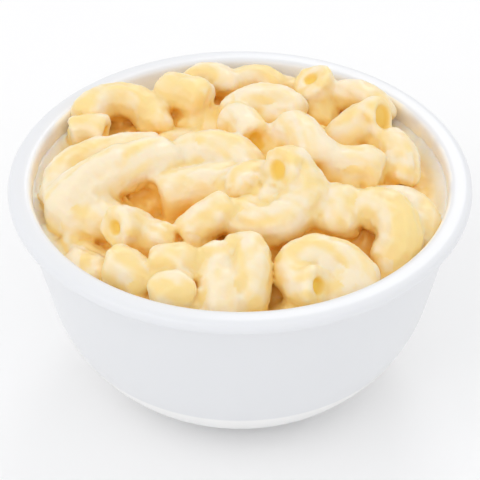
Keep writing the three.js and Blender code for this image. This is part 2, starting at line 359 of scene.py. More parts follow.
# %% The elbows that show
BACK_ROW = [
    Elbow([(-42, 25, 62), (-32.5, 33, 63.5), (-23, 23, 59)], 5.0, bare=0.7),
    Elbow([(-45, 18.5, 62.5), (-40.5, 18.8, 63.5), (-36, 17.6, 63.6)], 4.3, "last", bare=-0.2, hole=1.4),
    Elbow([(-45.5, 20, 58.5), (-41.5, 21, 58.8), (-37.5, 20, 57.5)], 4.2),
    Elbow([(-22.5, 36.5, 63.5), (-16, 34, 65), (-9, 29.5, 65.5)], 5.4, round_end=3.2, bare=0.15),
    Elbow([(-14.5, 42, 59), (-8, 46.5, 62.2), (-4.2, 40.5, 60)], 4.4, bare=0.2),
    Elbow([(-1.8, 43.3, 58.2), (4.2, 47.3, 61.2), (10.8, 43.3, 58.7)], 4.2, bare=0.2),
    Elbow([(21.5, 28, 57), (22, 36, 61), (19.3, 37.5, 67.7)], (4.8, 5.9), "last", bare=0.1),
    Elbow([(27, 37, 61.5), (34.8, 34, 63.5), (39.3, 27.5, 60)], 4.4, bare=0.1),
    Elbow(
        [(25, 16.5, 59.5), (30.5, 19.5, 63), (34.8, 21.3, 65.3), (38.2, 19.6, 66.8)],
        (5.2, 5.7),
        "last",
        bare=0.3,
        hole=3.8,
    ),
    Elbow([(-16, 32, 56.5), (-10, 28, 58.5), (-4.5, 32, 58)], 4.4),
    Elbow([(-36, 32.5, 55.5), (-28.5, 38, 56.5), (-20, 42, 55.5)], 4.4),
    Elbow([(12, 46, 56.5), (19, 44.5, 58), (27, 40, 57)], 4.4),
    Elbow([(33, 27.5, 54.5), (37, 24.5, 56.5), (41, 18, 56)], 4.5),
]
RIGHT_SIDE = [
    Elbow([(37, 17, 60), (42.5, 7, 62), (42, 2, 58)], 4.7),
    Elbow([(21, 3, 62), (28.5, 2.3, 63), (37.3, 1.5, 62.5)], 5.9, round_end=4, bare=-0.3),
    Elbow([(30, -15.5, 60.5), (34.6, -16.3, 63), (34.5, -27.5, 54.5)], 5.9, bare=0.35),
    Elbow([(35, -9, 58.3), (42.6, -9.3, 59.5), (43.2, -21, 56)], 4.7),
    Elbow([(22.8, -20.8, 58.6), (25.2, -15.5, 61.5), (27.8, -10.5, 62)], 6.4, round_end=3.5, bare=0.1),
]
MIDDLE = [
    Elbow([(-3, 24, 62), (6, 29.8, 65.7), (16, 26, 63)], 4.6),
    Elbow([(-3, 21.5, 64.5), (1, 17, 66.3), (3.8, 11.3, 66)], 4.9, "last", bare=-0.3, hole=1.6),
    Elbow([(12, 15.5, 66), (17, 8.5, 67), (20, 0.5, 64)], 5.8, bare=-0.3),
    Elbow(
        [
            *[(9.3, -10.7, 71.5), (13.4, -7.8, 69.3), (16.2, -14, 66)],
            *[(9.5, -21, 62.5), (2, -19.8, 61.8), (-0.3, -15, 61.8)],
        ],
        (5.8, 5.4),
        "first",
        hole=2.7,
    ),
    Elbow([(8, -5.5, 63.5), (2.2, -6.5, 65.3), (1.8, -12, 65.3)], 4.8, round_end=2.2, bare=0.1),
    Elbow([(-15.5, 5.5, 63), (-5.5, 6.5, 65), (3, 0.5, 62.5)], 5.4, bare=-0.1),
    Elbow([(-20.5, -7.5, 60.5), (-12.5, -5.5, 62), (-1.5, -3.5, 62)], 5.4, round_end=2.5, bare=-0.2),
]
LEFT_SIDE = [
    Elbow(
        [(-17.3, 4.3, 64.3), (-30.5, -2.5, 66), (-40.5, -9, 63.5), (-47, -12.5, 58.5)],
        6.3,
        round_end=3.5,
        bare=-0.3,
    ),
    Elbow([(-21, 10.5, 62.5), (-34.5, 9, 62.5), (-45, 3, 61), (-47, -8, 58)], 5.0, bare=-0.1),
    Elbow(
        [(-31, -25.3, 64.6), (-28.2, -22.5, 63), (-26, -21.5, 60.5), (-25, -22, 57)],
        5.2,
        "first",
        hole=1.8,
    ),
    Elbow([(-25, -22, 58), (-21, -24, 60), (-16.5, -25, 59.5)], 4.6, round_end=3.6, bare=0.1),
    Elbow([(-14, -22.5, 59), (-9, -20, 62), (-2.2, -17, 65)], 4.9, round_end=2, bare=0.25),
    Elbow([(-44, -19.5, 52), (-38.5, -24, 53), (-32, -27, 52)], 4.6),
    Elbow([(-47, -12, 57), (-39, -14.5, 59.5), (-30, -16, 58)], 5.4, round_end=3, bare=-0.3),
]
FRONT_ROW = [
    Elbow([(-42, -27, 54.5), (-38, -31, 55), (-33.5, -34.5, 54.5)], 4.5, bare=-0.4),
    Elbow([(-32, -33.5, 60.5), (-27.5, -35.5, 59.5), (-22.5, -38, 55.7)], 5.2, round_end=2, bare=0.2),
    Elbow([(-20.3, -34, 60.5), (-15.8, -35, 62), (-11.8, -34, 60.8)], 4.5, round_end=2.2, bare=0.5),
    Elbow([(-9.5, -32, 60), (-6.5, -33, 61.7), (-3.5, -32.5, 62)], 3.8, round_end=3, bare=-0.1),
    Elbow([(-6, -33.5, 57), (-5, -39, 58.3), (-4.6, -46.5, 54.5)], 5.8, bare=-0.3),
    Elbow([(-2.5, -31, 60.8), (2.3, -33, 63.2), (2.8, -38, 62.4), (2, -46, 56)], 4.8, bare=0.1),
    Elbow([(-20.5, -42, 58), (-16.5, -43, 59.3), (-12, -43, 58.5)], 5.0, round_end=2.6, bare=0.3),
    Elbow(
        [
            *[(18.8, -44, 61.8), (15, -41.4, 59.6), (12.8, -35.5, 60), (17.5, -32, 61.5)],
            *[(24.5, -33, 60.5), (28.8, -36.5, 58), (30, -40, 54)],
        ],
        5.0,
        "first",
        bare=0.2,
        hole=2.2,
    ),
]
ALMOST_COVERED = [
    Elbow([(5, -10, 62), (8.5, -13.5, 63.5), (11.5, -15, 62.5)], 4.6, bare=-0.3),
    Elbow([(-4, -9, 59), (0.5, -11, 60.5), (5, -12.5, 61)], 4.4, bare=-0.5),
    Elbow([(-1, 27.5, 61), (7.4, 26, 62), (15.5, 22, 61.5)], 5.0, bare=-0.2),
    Elbow([(0, 9, 58.5), (5, 11, 60), (11, 12, 61)], 4.8, bare=-0.3),
    Elbow([(-18, -0.5, 59.5), (-13.5, 2.5, 61), (-8, 3, 60.5)], 4.6, bare=-0.3),
    Elbow([(21, -41, 56.3), (26, -39, 57.8), (31, -36, 57.3)], 4.5, bare=-0.3),
    Elbow([(15, -36.5, 58), (18.5, -36, 59.3), (22, -37, 59)], 4.2, bare=-0.3),
]
elbows = ALMOST_COVERED + BACK_ROW + RIGHT_SIDE + MIDDLE + LEFT_SIDE + FRONT_ROW
print(len(elbows), "elbows show,", len(ALMOST_COVERED), "of them almost covered by others")

# %% [markdown]
# ## The layer below
#
# Between the elbows that show, the eye falls on others lower down, more than half sunk in
# sauce. Its level is a low dome that climbs the wall at the left and the right, with a few deep
# hollows that give the heap its dark accents. Placing the lower elbows by hand would be work
# that hardly shows, so they are scattered by a rule that keeps them out of the hollows. The
# random seed is fixed, so the heap is the same each time.

# %% The level of the sauce between the elbows
BED_LEVEL = 54.5
BED_DOME = 7.0
BED_REACH = 54.0
EDGE_RISE = 5.0
EDGE_WIDTH = 8.0
LEFT_HOLLOWS = [(-22, -11), (-15, -13.5), (-35, -22.5)]
FRONT_HOLLOWS = [(-2.5, -20), (0, -26), (11, -27), (24, -22), (30, -25), (6.5, -41)]
BACK_HOLLOWS = [(-6, 37), (-31, 19), (-15, 15), (27.5, 32.5)]
HOLLOWS = LEFT_HOLLOWS + FRONT_HOLLOWS + BACK_HOLLOWS
HOLLOW_DEPTH = 4.2
HOLLOW_REACH = 4.5


def near_wall(x, y):
    """From 0 in the open to 1 at the wall."""
    return np.clip(1 - (wall_radius(LIP_START_HEIGHT) - WALL - np.hypot(x, y)) / EDGE_WIDTH, 0, 1)


def to_side(x, y):
    """From 0 at the front and the back to 1 at the left and the right."""
    return (x / np.maximum(np.hypot(x, y), 1)) ** 2


def bed_height(x, y):
    """How high the sauce stands: a low dome that climbs the wall at the sides, with a few hollows."""
    height = BED_LEVEL + BED_DOME * (1 - (x**2 + y**2) / BED_REACH**2)
    height = height + EDGE_RISE * near_wall(x, y) ** 3 * to_side(x, y)
    for hollow_x, hollow_y in HOLLOWS:
        away = (x - hollow_x) ** 2 + (y - hollow_y) ** 2
        height = height - HOLLOW_DEPTH * np.exp(-away / HOLLOW_REACH**2)
    return height


print(f"the sauce stands {bed_height(0, 10):.0f} mm high in the middle")

# %% Scattering the lower layer
LOWER_COUNT = 34
LOWER_REACH = 38
LOWER_SINK = 2.8
LOWER_MARGIN = 3
LOWER_HALF_LENGTHS = (8, 11)
LOWER_RADII = (4.2, 4.7)
HOLLOW_CLEARANCE = 7
rng = np.random.default_rng(12)


def scattered_elbow():
    """An elbow of usual size, lying nearly flat with a random turn, somewhere in the bowl."""
    distance = LOWER_REACH * np.sqrt(rng.uniform())
    bearing, heading = rng.uniform(0, 2 * pi, 2)
    x, y = distance * cos(bearing), distance * sin(bearing)
    centre = np.array([x, y, bed_height(x, y) - LOWER_SINK + rng.uniform(-1, 1)])
    ahead = np.array([cos(heading), sin(heading), rng.uniform(-0.1, 0.1)])
    aside = np.array([-sin(heading), cos(heading), 0])
    half = rng.uniform(*LOWER_HALF_LENGTHS)
    via = [centre - ahead * half, centre + aside * half * 0.5, centre + ahead * half]
    return Elbow(via, rng.uniform(*LOWER_RADII))


def is_clear(elbow):
    """True if it keeps inside the bowl and away from the hollows."""
    inside = np.hypot(elbow.via[:, 0], elbow.via[:, 1]).max() < LOWER_REACH + LOWER_MARGIN
    hollows = np.array(HOLLOWS)
    gap = np.linalg.norm(elbow.via[:, None, :2] - hollows[None], axis=2).min()
    return inside and gap > HOLLOW_CLEARANCE


lower = []
while len(lower) < LOWER_COUNT:
    candidate = scattered_elbow()
    if is_clear(candidate):
        lower.append(candidate)
print(len(lower), "elbows lie below them")


# %% [markdown]
# ## The middle line of an elbow
#
# An elbow that is given by three points is an arc of a circle, as macaroni is when it leaves
# the die. One that curls further is a smooth curve through all its points. Blender's own curve
# objects could hold these lines. Plain arrays are chosen, because the next steps measure the
# distance to them.

# %% Arcs and smooth curves
def arc_through(a, b, c, steps=17):
    ab, ac = b - a, c - a
    normal = np.cross(ab, ac)
    size = normal @ normal
    centre = a + (np.cross(normal, ab) * (ac @ ac) + np.cross(ac, normal) * (ab @ ab)) / (2 * size)
    x = a - centre
    y = np.cross(normal / np.sqrt(size), x)
    end = c - centre
    whole = np.arctan2(end @ y, end @ x) % (2 * pi)
    angle = np.linspace(0, whole, steps)[:, None]
    return centre + x * np.cos(angle) + y * np.sin(angle)


def curve_through(points, steps=8):
    """The Catmull-Rom curve through points."""
    points = np.vstack([2 * points[0] - points[1], points, 2 * points[-1] - points[-2]])
    t = np.linspace(0, 1, steps, endpoint=False)[:, None]
    stretches = []
    for a, b, c, d in zip(points, points[1:], points[2:], points[3:]):
        straight = 2 * b + (c - a) * t
        bend = (2 * a - 5 * b + 4 * c - d) * t**2
        swing = (-a + 3 * b - 3 * c + d) * t**3
        stretches.append(0.5 * (straight + bend + swing))
    return np.vstack([*stretches, points[-2:-1]])


def middle_line(elbow):
    return arc_through(*elbow.via) if len(elbow.via) == 3 else curve_through(elbow.via)


lengths = [np.linalg.norm(np.diff(middle_line(e), axis=0), axis=1).sum() for e in elbows]
print(f"elbows are {min(lengths):.0f} to {max(lengths):.0f} mm long")

# %% [markdown]
# ## Sauce as a distance field
#
# Thick sauce clings to the elbows, fills the corners where they touch and leaves their ends
# soft. Modelling that by hand, or with one Boolean after another, gives hard creases, and
# metaballs have no flat ends. A distance field does it by itself: a grid of numbers that say
# how far each place is from the surface, below zero inside. Two shapes are joined by taking
# the smaller number, and taking it smoothly gives the fillet of sauce between them.

# %% The grid
STEP = 0.6
REACH = 56.0
FIELD_FLOOR = 46.0
HEAP_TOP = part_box("macaroni")[1][2] / MM
axis_x = np.arange(-REACH, REACH + STEP, STEP, dtype=np.float32)
axis_z = np.arange(FIELD_FLOOR, HEAP_TOP + 2, STEP, dtype=np.float32)
LOW = np.array([axis_x[0], axis_x[0], axis_z[0]])
shape = (len(axis_x), len(axis_x), len(axis_z))
X, Y, Z = np.meshgrid(axis_x, axis_x, axis_z, indexing="ij")
print("the grid has", shape, "places")


# %% Joining smoothly
BLEND = 2.3


def join(a, b, blend):
    share = np.clip(0.5 + 0.5 * (b - a) / blend, 0, 1)
    return b + (a - b) * share - blend * share * (1 - share)


def carve(a, b, blend):
    """a with b cut out of it."""
    return -join(-a, b, blend)


print(f"where two elbows just touch, {-join(0.0, 0.0, BLEND):.2f} mm of sauce joins them")


# %% Soft lumps
WAVES_PER_SIZE = 8


def lumps(sizes_mm, seed):
    """A function of place that wanders smoothly between about -1 and 1."""
    waves = np.random.default_rng(seed)
    turns = []
    for size in sizes_mm:
        for _ in range(WAVES_PER_SIZE):
            turns.append((waves.normal(size=3) * 2 * pi / size, waves.uniform(0, 2 * pi), size))
    total = np.sqrt(sum(size**2 for *_, size in turns) / 2)

    def value(x, y, z):
        height = 0
        for k, phase, size in turns:
            height = height + size * np.sin(k[0] * x + k[1] * y + k[2] * z + phase)
        return height / total

    return value


mottle = lumps([13, 8, 5], seed=4)
ripple = lumps([5, 3.2], seed=5)
print(f"in the middle of the heap the mottle is {mottle(0, 0, BED_LEVEL):.2f}")


# %% Distance to a line
RUN_ON = 10


def from_line(x, y, z, line):
    """Squared distance to a line that runs on past both ends, and how far along it is nearest."""
    before = line[0] - line[1]
    after = line[-1] - line[-2]
    first = line[0] + before / np.linalg.norm(before) * RUN_ON
    last = line[-1] + after / np.linalg.norm(after) * RUN_ON
    route = np.vstack([first, line, last])
    steps = np.linalg.norm(np.diff(route, axis=0), axis=1)
    starts = np.concatenate([[0], np.cumsum(steps)]) - RUN_ON
    squared = np.full(x.shape, 1e9, np.float32)
    along = np.zeros(x.shape, np.float32)
    for a, b, start, step in zip(route, route[1:], starts, steps):
        direction = (b - a) / step
        px, py, pz = x - a[0], y - a[1], z - a[2]
        t = np.clip(px * direction[0] + py * direction[1] + pz * direction[2], 0, step)
        away = (px - t * direction[0]) ** 2 + (py - t * direction[1]) ** 2 + (pz - t * direction[2]) ** 2
        closer = away < squared
        squared = np.where(closer, away, squared)
        along = np.where(closer, start + t, along)
    return squared, along, starts[-1] - RUN_ON


# %% Distance to an elbow
def tube_distance(x, y, z, line, radii, round_end):
    """Distance to a tube with flat, rounded ends that follows a line."""
    squared, along, length = from_line(x, y, z, line)
    radius = radii[0] + (radii[1] - radii[0]) * np.clip(along / length, 0, 1)
    side = np.sqrt(squared) - radius + round_end
    end = np.maximum(-along, along - length) + round_end
    within = np.minimum(np.maximum(side, end), 0)
    beyond = np.hypot(np.maximum(side, 0), np.maximum(end, 0))
    return within + beyond - round_end


def cut_box(line, margin):
    """The part of the grid within a margin of a line."""
    low = (line.min(axis=0) - margin - LOW) / STEP
    high = (line.max(axis=0) + margin - LOW) / STEP
    low = np.clip(np.floor(low).astype(int), 0, shape)
    high = np.clip(np.ceil(high).astype(int) + 1, 0, shape)
    return tuple(slice(a, b) for a, b in zip(low, high))


# %% Pouring the sauce
BARE_BLEND = 2.6
MARGIN = 5
BED_RELIEF = 0.5
HEIGHT_TO_DISTANCE = 0.85
relief = BED_RELIEF * mottle(X, Y, 0 * Z) * (1 - near_wall(X, Y))
sauce = ((Z - bed_height(X, Y) - relief) * HEIGHT_TO_DISTANCE).astype(np.float32)
for elbow in lower + elbows:
    line = middle_line(elbow)
    part = cut_box(line, max(elbow.tube) + MARGIN)
    if 0 in sauce[part].shape:
        continue
    distance = tube_distance(X[part], Y[part], Z[part], line, elbow.tube, elbow.round_end)
    sauce[part] = join(sauce[part], distance, BLEND - BARE_BLEND * elbow.bare)
sauce += 0.14 * mottle(X, Y, Z) + 0.06 * ripple(X, Y, Z)
print("sauce poured over", len(lower) + len(elbows), "elbows")

# %% Opening the holes
HOLE_DEPTH = 1.5
HOLE_TAPER = 0.8
HOLE_BLEND = 1.2
HOLE_MARGIN = 6
FAR_AWAY = 20


def hole_line(elbow):
    """A line from just outside an open end to the bottom of its hole."""
    line = middle_line(elbow)
    if elbow.open_end == "last":
        line = line[::-1]
    run = np.concatenate([[0], np.cumsum(np.linalg.norm(np.diff(line, axis=0), axis=1))])
    outward = (line[0] - line[1]) / np.linalg.norm(line[0] - line[1])
    return np.vstack([line[0] + outward * 3, line[run < HOLE_DEPTH]])


holes = [(hole_line(e), e.hole) for e in elbows if e.open_end]

hole = np.full(shape, FAR_AWAY, np.float32)
for line, radius in holes:
    part = cut_box(line, HOLE_MARGIN)
    radii = (radius, radius * HOLE_TAPER)
    distance = tube_distance(X[part], Y[part], Z[part], line, radii, 0.6)
    hole[part] = np.minimum(hole[part], distance)
sauce = carve(sauce, hole, HOLE_BLEND)
print("holes opened:", len(holes))

# %% Where the bowl's wall stops the sauce
INTO_WALL = 1.0
past_wall = np.hypot(X, Y) - (wall_radius(np.minimum(Z, LIP_START_HEIGHT)) - WALL + INTO_WALL)
print(f"the sauce reaches {INTO_WALL:.0f} mm into the wall, so that no gap shows")

# %% [markdown]
# ## How much sky each place sees
#
# Deep between the elbows the real sauce looks darker and warmer, because it sees little of the
# light. An Ambient Occlusion node could find that at render time, but it is slow and noisy. The
# grid gives it at once: straight rays are swept down through it, layer by layer, in many
# directions, and a place stays open to a ray only if the place before it was open too. The
# share of the rays that arrive says how open a place is. The bowl's wall doesn't stop these
# rays, because it is white and passes the light on.

# %% Blurring a field
def blur(field, radius_mm, rounds=2):
    """A running mean over a cube, repeated so that it turns round."""
    reach = max(1, round(radius_mm / STEP))
    for _ in range(rounds):
        for axis in range(3):
            pad = [(reach + 1, reach) if a == axis else (0, 0) for a in range(3)]
            sums = np.cumsum(np.pad(field, pad, mode="edge"), axis=axis, dtype=np.float64)
            count = field.shape[axis]
            high = np.take(sums, np.arange(2 * reach + 1, 2 * reach + 1 + count), axis)
            low = np.take(sums, np.arange(count), axis)
            field = ((high - low) / (2 * reach + 1)).astype(np.float32)
    return field


# %% Sweeping rays down
BEARINGS = 16
SLOPES = [(0, 0)]
for slope in (1, 2, 3):
    for bearing in np.arange(BEARINGS) * 2 * pi / BEARINGS:
        SLOPES.append((round(slope * cos(bearing)), round(slope * sin(bearing))))


def shifted(layer, dx, dy):
    """The layer moved by whole steps, with open air coming in at its edges."""
    moved = np.pad(layer, 3, constant_values=True)
    return moved[3 + dx : 3 + dx + layer.shape[0], 3 + dy : 3 + dy + layer.shape[1]]


def sky_share(field):
    """The share of the rays from above that reach each place."""
    free = field > 0
    share = np.zeros(field.shape, np.float32)
    for dx, dy in SLOPES:
        layer = np.ones(field.shape[:2], bool)
        for k in range(field.shape[2] - 1, -1, -1):
            layer = shifted(layer, dx, dy) & free[:, :, k]
            share[:, :, k] += layer
    return share / len(SLOPES)


print(len(SLOPES), "rays come down at each place")

# %% How open each place is
SKY_BLUR = 1.2
sky = sky_share(sauce)
air = ((sauce > 0) & (past_wall < 0)).astype(np.float32)
openness = blur(sky, SKY_BLUR) / np.maximum(blur(air, SKY_BLUR), 0.05)
sauce = np.maximum(sauce, past_wall)
print(f"sky seen from the middle of the heap's open places: {np.median(openness[air > 0]):.2f}")


# %% [markdown]
# ## From field to mesh
#
# The surface is where the numbers cross zero. Each grid cell that it passes through gets one
# point, at the middle of its crossings, and each crossed edge gets a face between the four
# cells around it. This is called surface nets. It gives even, rounded quads with no slivers,
# which suits a smooth liquid better than marching cubes.

# %% The cells round an edge
def cells_round(edges, axis):
    """The four cells round each grid edge that runs along axis, in order."""
    u, v = (axis + 1) % 3, (axis + 2) % 3
    cells = []
    for du, dv in ((0, 0), (-1, 0), (-1, -1), (0, -1)):
        cell = edges.copy()
        cell[:, u] += du
        cell[:, v] += dv
        cells.append(cell)
    return np.stack(cells, axis=1)


# %% Surface nets
def surface_net(field):
    """Points, in grid steps, and quads of the surface where a field is zero."""
    size = np.array(field.shape)
    total = np.zeros((size.prod(), 3))
    hits = np.zeros(size.prod())
    quads = []
    for axis in range(3):
        before = np.take(field, np.arange(size[axis] - 1), axis)
        after = np.take(field, np.arange(1, size[axis]), axis)
        edges = np.argwhere((before < 0) != (after < 0))
        others = [(axis + 1) % 3, (axis + 2) % 3]
        inner = (edges[:, others] > 0) & (edges[:, others] < size[others] - 1)
        edges = edges[inner.all(axis=1)]
        a, b = before[tuple(edges.T)], after[tuple(edges.T)]
        crossing = edges.astype(float)
        crossing[:, axis] += a / (a - b)
        cells = cells_round(edges, axis)
        index = np.ravel_multi_index(tuple(np.moveaxis(cells, 2, 0)), size)
        for k in range(3):
            total[:, k] += np.bincount(index.ravel(), np.repeat(crossing[:, k], 4), size.prod())
        hits += np.bincount(index.ravel(), minlength=size.prod())
        quads.append(np.where((a < 0)[:, None], index, index[:, ::-1]))
    used = np.flatnonzero(hits)
    number = np.full(size.prod(), -1)
    number[used] = np.arange(len(used))
    return total[used] / hits[used, None], number[np.vstack(quads)]


grid_points, sauce_faces = surface_net(sauce)
sauce_points = grid_points * STEP + LOW
print("sauce surface:", len(sauce_points), "points and", len(sauce_faces), "faces")


# %% [markdown]
# ## What the finish needs to know
#
# The sauce's colour follows its shape. Where the coat is thin, the yellower pasta shows
# through. Deep between the elbows and in their creases, light bounces from sauce to sauce and
# turns a warm orange, and this is painted into the colour as painted shade. The open holes are
# deep yellow, and the edge that climbs the wall thins to a pale film, with painted shade at its
# foot. Painting all this by hand would have to be done again after each change of the shape,
# so it is measured here, once for each point, and stored on the mesh for the material to read.
# Low folds that run along each elbow are real shape: they move the points.

# %% Reading a field between its places
def read(field, points):
    """A field's value at places given in grid steps, between its eight nearest numbers."""
    base = np.clip(np.floor(points).astype(int), 0, np.array(field.shape) - 2)
    share = points - base
    value = 0
    for corner in product((0, 1), repeat=3):
        weight = np.prod(np.where(corner, share, 1 - share), axis=1)
        value = value + weight * field[tuple((base + corner).T)]
    return value


# %% Streaks and folds along each elbow
STREAK_STRENGTH = 0.42
THICKER_AWAY = 0.4
streaks = lumps([11, 7, 4.5], seed=9)
folds = lumps([6.5, 4.5, 3.2], seed=21)


def along_elbows(points):
    """How thin the coat is and how it is folded: elbow by elbow, in streaks that run along it."""
    nearest = np.full(len(points), 3.0, np.float32)
    thin = np.full(len(points), -0.5, np.float32)
    fold = np.zeros(len(points), np.float32)
    for number, elbow in enumerate(lower + elbows):
        line = middle_line(elbow)
        reach = max(elbow.tube) + 2
        near = ((points > line.min(axis=0) - reach) & (points < line.max(axis=0) + reach)).all(axis=1)
        x, y, z = points[near].T
        squared, along, length = from_line(x, y, z, line)
        radius = elbow.tube[0] + (elbow.tube[1] - elbow.tube[0]) * np.clip(along / length, 0, 1)
        distance = np.sqrt(squared) - radius
        marks = np.linspace(0, length, len(line))
        place = np.stack([np.interp(along, marks, line[:, k]) for k in range(3)])
        round_it = np.stack([x, y, z]) - place
        streak = streaks(*(round_it + 50 * number + 0.2 * along))
        value = elbow.bare + STREAK_STRENGTH * streak - THICKER_AWAY * np.maximum(distance, 0)
        relief = folds(*(round_it + 30 * number + 0.12 * along)) * np.clip(1 - distance, 0, 1)
        closer = distance < nearest[near]
        thin[near] = np.where(closer, value, thin[near])
        fold[near] = np.where(closer, relief, fold[near])
        nearest[near] = np.minimum(nearest[near], distance)
    return thin, fold


thin, fold = along_elbows(sauce_points)
print(f"the coat's folds lie between {fold.min():.2f} and {fold.max():.2f}")

# %% Shade and thinness
CREASE_BLUR = 1.5
CREASE_STRENGTH = 1.5
crease = blur((sauce < 0).astype(np.float32), CREASE_BLUR) - 0.5
# the shade mark says where painted shade goes into the sauce's colour
shade = 1 - read(openness, grid_points) + CREASE_STRENGTH * np.maximum(read(crease, grid_points), 0)
thin = thin + 0.22 * mottle(*sauce_points.T) + 0.08 * ripple(*sauce_points.T)
for name, values in (("shade", shade), ("thin", thin)):
    print(name, "at 5, 50 and 95 percent of the points:", np.percentile(values, (5, 50, 95)).round(2))

# %% Raising the folds
FOLD_HEIGHT = 0.11
FOLD_FREE_OF_HOLE = 3
fold = fold * np.clip(read(hole, grid_points) / FOLD_FREE_OF_HOLE, 0, 1)
half_steps = 0.5 * np.eye(3)
uphill = [read(sauce, grid_points + step) - read(sauce, grid_points - step) for step in half_steps]
uphill = np.stack(uphill, axis=1)
steepness = np.linalg.norm(uphill, axis=1)[:, None]
sauce_points = sauce_points + FOLD_HEIGHT * fold[:, None] * uphill / steepness
print(f"the folds are up to {FOLD_HEIGHT * np.abs(fold).max():.2f} mm high")

# %% Holes and the film at the wall
HOLE_FADE = 0.8
FILM_REACH = 1.5
in_hole = np.clip(1 - read(hole, grid_points) / HOLE_FADE, 0, 1)
above_bed = sauce_points[:, 2] - bed_height(*sauce_points.T[:2])
# the film mark also places the painted shade at the foot of the wall
film = near_wall(*sauce_points.T[:2]) * np.clip(FILM_REACH - above_bed, 0, 1)
print((in_hole > 0.5).sum(), "points are in holes and", (film > 0.5).sum(), "in the film")

# %% [markdown]
# ## Cheese sauce
#
# A creamy sauce is bright, slightly glossy and lets light in for a millimetre or two, more of
# the red than of the blue. That is what Subsurface does, and without it the sauce would look
# like painted clay. The colour goes from cream, through the yellow of thinly coated pasta, to
# the amber of the crevices. The amber on the sides, in the crevices and at the foot of the wall
# is painted shade. Each is one step of mixing, driven by a number on the mesh, so that each can
# be changed alone.

# %% The sauce's colours
CREAM = (0.975, 0.81, 0.60)
THIN = (0.985, 0.73, 0.33)
# painted shade: the warm amber of sides that see less sky
PAINTED_SHADE_SIDES = (1.0, 0.72, 0.28)
# painted shade: deep amber for the crevices between the elbows
PAINTED_SHADE_CREVICE = (0.96, 0.57, 0.12)
# painted shade: amber in the corner where the sauce meets the wall
PAINTED_SHADE_WALL_FOOT = (1.0, 0.69, 0.26)
HOLE_YELLOW = (1.0, 0.63, 0.10)
FILM = (1.0, 0.95, 0.84)
print("cream to thin coat:", CREAM, THIN)

# %% The sauce's finish
cheese, shader = new_material(
    "cheese_sauce", Roughness=0.36, Subsurface_Weight=0.7, Coat_Weight=0.4, Coat_Roughness=0.28
)
shader.inputs["Subsurface Radius"].default_value = (1.0, 0.8, 0.5)
shader.inputs["Subsurface Scale"].default_value = 2 * MM
shader.inputs["Specular IOR Level"].default_value = 0.3
link = cheese.node_tree.links.new
thin_share = spread(cheese, attribute(cheese, "thin"), -0.8, 0.9)
body = mix_colours(cheese, thin_share, CREAM, THIN, "thin coat")
# sides: painted shade, warmer amber where a point sees less sky
side_shade_share = spread(cheese, attribute(cheese, "shade"), 0.25, 0.75)
body = mix_colours(cheese, side_shade_share, body, PAINTED_SHADE_SIDES, "sides")
# crevices: painted shade, deep amber where a point sees almost no sky or lies in a crease
deep_shade_share = spread(cheese, attribute(cheese, "shade"), 0.6, 1.05)
body = mix_colours(cheese, deep_shade_share, body, PAINTED_SHADE_CREVICE, "crevices")
body = mix_colours(cheese, attribute(cheese, "in_hole"), body, HOLE_YELLOW, "holes")
wall_film_and_shade = attribute(cheese, "film")
# foot of the wall: painted shade in the corner between the elbows and the wall
body = mix_colours(cheese, spread(cheese, wall_film_and_shade, 0, 0.3), body, PAINTED_SHADE_WALL_FOOT, "foot of the wall")
body = mix_colours(cheese, spread(cheese, wall_film_and_shade, 0.4, 0.95), body, FILM, "film on the wall")
link(body, shader.inputs["Base Color"])
ridges = bumps(cheese, shader, noise(cheese, 5.0, 2), 0.22)
bumps(cheese, shader, noise(cheese, 1.4, 3), 0.06, under=ridges)
print("the sauce's finish has", len(cheese.node_tree.nodes), "nodes")

# %% The sauce as a piece
sauce_piece = make_piece("cheese_sauce", sauce_points, sauce_faces, "macaroni", cheese)
for name, values in (("thin", thin), ("shade", shade), ("in_hole", in_hole), ("film", film)):
    layer = sauce_piece.data.attributes.new(name, "FLOAT", "POINT")
    layer.data.foreach_set("value", values.astype(np.float32))

# %% [markdown]
# ## The smear on the bowl, and painted light on it
#
# Where the heap touches the bowl, a film of sauce too thin to have a shape is left on the wall
# and fades out upwards, further at the left and the right. The same mark paints light and
# shade there: a haze of painted shade next to the food, then a warm tint that is partly the
# film and partly painted bounce light from the sauce. It could be a second thin mesh, but that
# would flicker against the wall. So it is stored on the bowl's points as a number that falls
# with the distance to the sauce, with some wander in it, and the bowl's finish turns it into
# the haze and the tint.

# %% Smear and painted light on the bowl's points
SMEAR_REACH = 0.3
SMEAR_REACH_AT_SIDES = 5.0
SMEAR_FLOOR = 50
SMEAR_WANDER = 0.8
smear_and_painted_light = np.zeros(len(bowl_points))
bowl_radius = np.hypot(bowl_points[:, 0], bowl_points[:, 1])
bowl_height = bowl_points[:, 2]
inner = (bowl_radius < REACH - 1) & (bowl_height > SMEAR_FLOOR)
wall_places = bowl_points[inner] * (0.97, 0.97, 1) - (0, 0, 0.5)
side = to_side(*wall_places.T[:2])
to_sauce = read(sauce, (wall_places - LOW) / STEP) - SMEAR_WANDER * side * mottle(*wall_places.T)
reach = SMEAR_REACH + (SMEAR_REACH_AT_SIDES - SMEAR_REACH) * side**2
# this mark places both the painted shade haze and the film with its painted bounce light
smear_and_painted_light[inner] = np.clip(1 - to_sauce / reach, 0, 1) ** 1.5
print(f"the smear is on {(smear_and_painted_light > 0.1).sum()} of the bowl's points")

# %% [markdown]
# ## Whiter inside: painted light
#
# The inner face is painted whiter, as painted light for the light that the white walls bounce
# to each other, and the mark for it fades out at the rim. A point is marked if it lies further
# in than the middle of the wall. The wall's straight line is used for that all the way down,
# which is right for the inside. Low on the belly the outside lies within that line too. This is
# a fault: the lower third of the outside is marked as well, and comes out white with a sharp
# upper edge. Marking the points that come after the crown in the outline would keep the mark to
# the inside.

